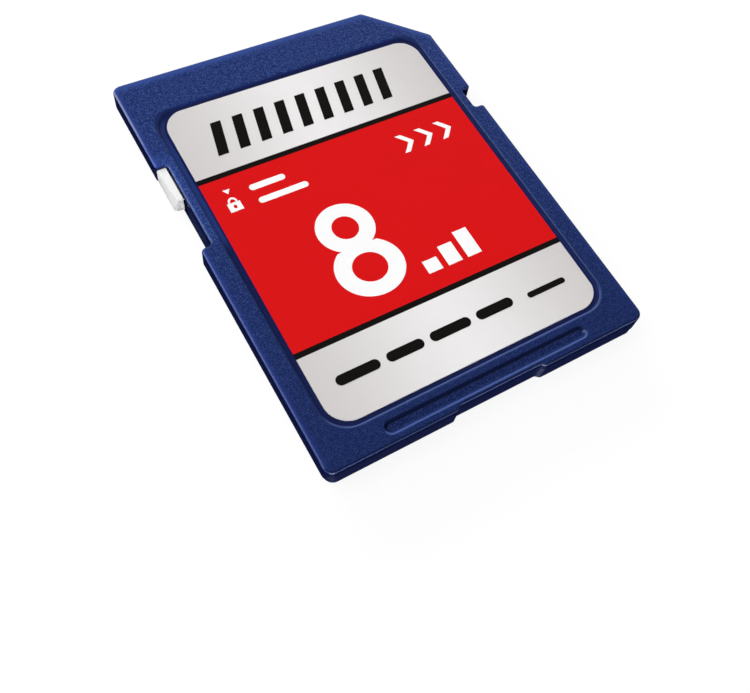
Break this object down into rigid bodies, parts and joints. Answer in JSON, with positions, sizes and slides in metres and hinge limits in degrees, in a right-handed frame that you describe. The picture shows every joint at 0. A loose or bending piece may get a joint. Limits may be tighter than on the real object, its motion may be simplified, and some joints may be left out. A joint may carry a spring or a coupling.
{
  "type": "sd memory card",
  "caption": "Flat flash memory card with a slanted keying corner, a printed label in a shallow recess, a sliding lock tab in one edge and gold contact pads behind ribs in the back.",
  "frame": {"origin": "centre of the card's outline, on its back face", "axes": "+X to the slanted corner's side, +Y to the contact end, +Z to the label side"},
  "size_m": [0.024, 0.032, 0.0021],
  "materials": {
    "shell_blue": "fine spark-eroded texture",
    "lock_white": "satin",
    "label_film": "printed film, red and silver fields",
    "board_green": "solder mask",
    "contact_gold": "gold plated",
    "chip_black": "moulded epoxy",
    "lead_tin": "tin plated",
    "capacitor_tan": "glazed ceramic",
    "resistor_black": "glazed ceramic"
  },
  "bodies": {
    "card": {"front_cover": "shell_blue", "rear_cover": "shell_blue", "front_label": "label_film", "circuit_board": "board_green", "flash_chip": "chip_black", "flash_leads": "lead_tin", "controller_chip": "chip_black", "contact_1": "contact_gold", "contact_2": "contact_gold", "contact_3": "contact_gold", "contact_4": "contact_gold", "contact_5": "contact_gold", "contact_6": "contact_gold", "contact_7": "contact_gold", "contact_8": "contact_gold", "contact_9": "contact_gold", "capacitor_1": "capacitor_tan", "capacitor_2": "capacitor_tan", "capacitor_3": "capacitor_tan", "resistor_1": "resistor_black", "resistor_2": "resistor_black", "resistor_3": "resistor_black", "resistor_4": "resistor_black", "resistor_5": "resistor_black"},
    "lock": {"lock_slider": "lock_white"}
  },
  "joints": [
    {"name": "lock_slide", "type": "slide", "parent": "card", "child": "lock", "axis": [0, -1, 0], "range_m": [0, 0.004]}
  ]
}
